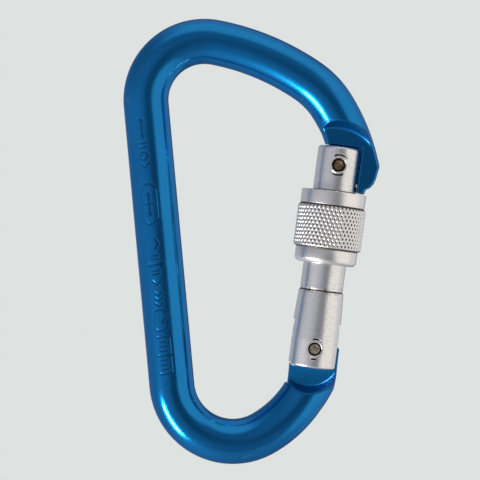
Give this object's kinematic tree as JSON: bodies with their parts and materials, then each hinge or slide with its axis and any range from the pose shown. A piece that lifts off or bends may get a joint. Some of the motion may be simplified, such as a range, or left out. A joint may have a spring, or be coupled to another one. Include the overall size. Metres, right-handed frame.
{
  "type": "locking carabiner",
  "caption": "D-shaped round-bar carabiner with a sprung hinged gate and a knurled screw sleeve that locks the gate over the nose.",
  "frame": {"origin": "the point on the inside of the top bow where an anchor or sling sits", "axes": "+Z from the bottom bow to the top bow, +X to the gate side, +Y through the thickness, with the bar's plane at Y = 0"},
  "size_m": [0.062, 0.0164, 0.1077],
  "materials": {
    "blue_anodised": "bright blue anodised, satin gloss",
    "bare_aluminium": "turned, satin",
    "knurled_aluminium": "turned and knurled, bright",
    "pin_steel": "cut wire, slightly tarnished",
    "spring_steel": "drawn wire",
    "ring_rubber": "matt"
  },
  "bodies": {
    "body": {"frame": "blue_anodised"},
    "gate": {"gate": "bare_aluminium", "hinge_pin": "pin_steel", "latch_pin": "pin_steel", "gate_spring": "spring_steel"},
    "plunger": {"spring_plunger": "spring_steel"},
    "sleeve_carrier": {"sleeve_friction_ring": "ring_rubber"},
    "sleeve": {"sleeve": "knurled_aluminium"}
  },
  "joints": [
    {"name": "gate_hinge", "type": "hinge", "parent": "body", "child": "gate", "pos_m": [0.02645, 0, -0.0687], "axis": [0, -1, 0], "range_deg": [0, 28], "stiffness_Nm_per_rad": 0.3, "springref_deg": -28.07},
    {"name": "plunger_travel", "type": "slide", "parent": "gate", "child": "plunger", "axis": [0.1305, 0, 0.9914], "range_m": [0, 0.0012], "deforming": ["gate_spring"]},
    {"name": "sleeve_travel", "type": "slide", "parent": "gate", "child": "sleeve_carrier", "axis": [0.1305, 0, 0.9914], "range_m": [-0.00631, 0.00151]},
    {"name": "sleeve_turn", "type": "hinge", "parent": "sleeve_carrier", "child": "sleeve", "pos_m": [0.03024, 0, -0.03995], "axis": [0.1305, 0, 0.9914], "range_deg": [-1512, 360]}
  ],
  "couplings": [
    {"joint": "plunger_travel", "follows": "gate_hinge", "m_per_rad": 0.0024555},
    {"joint": "sleeve_travel", "follows": "sleeve_turn", "m_per_rad": 0.00023873}
  ]
}
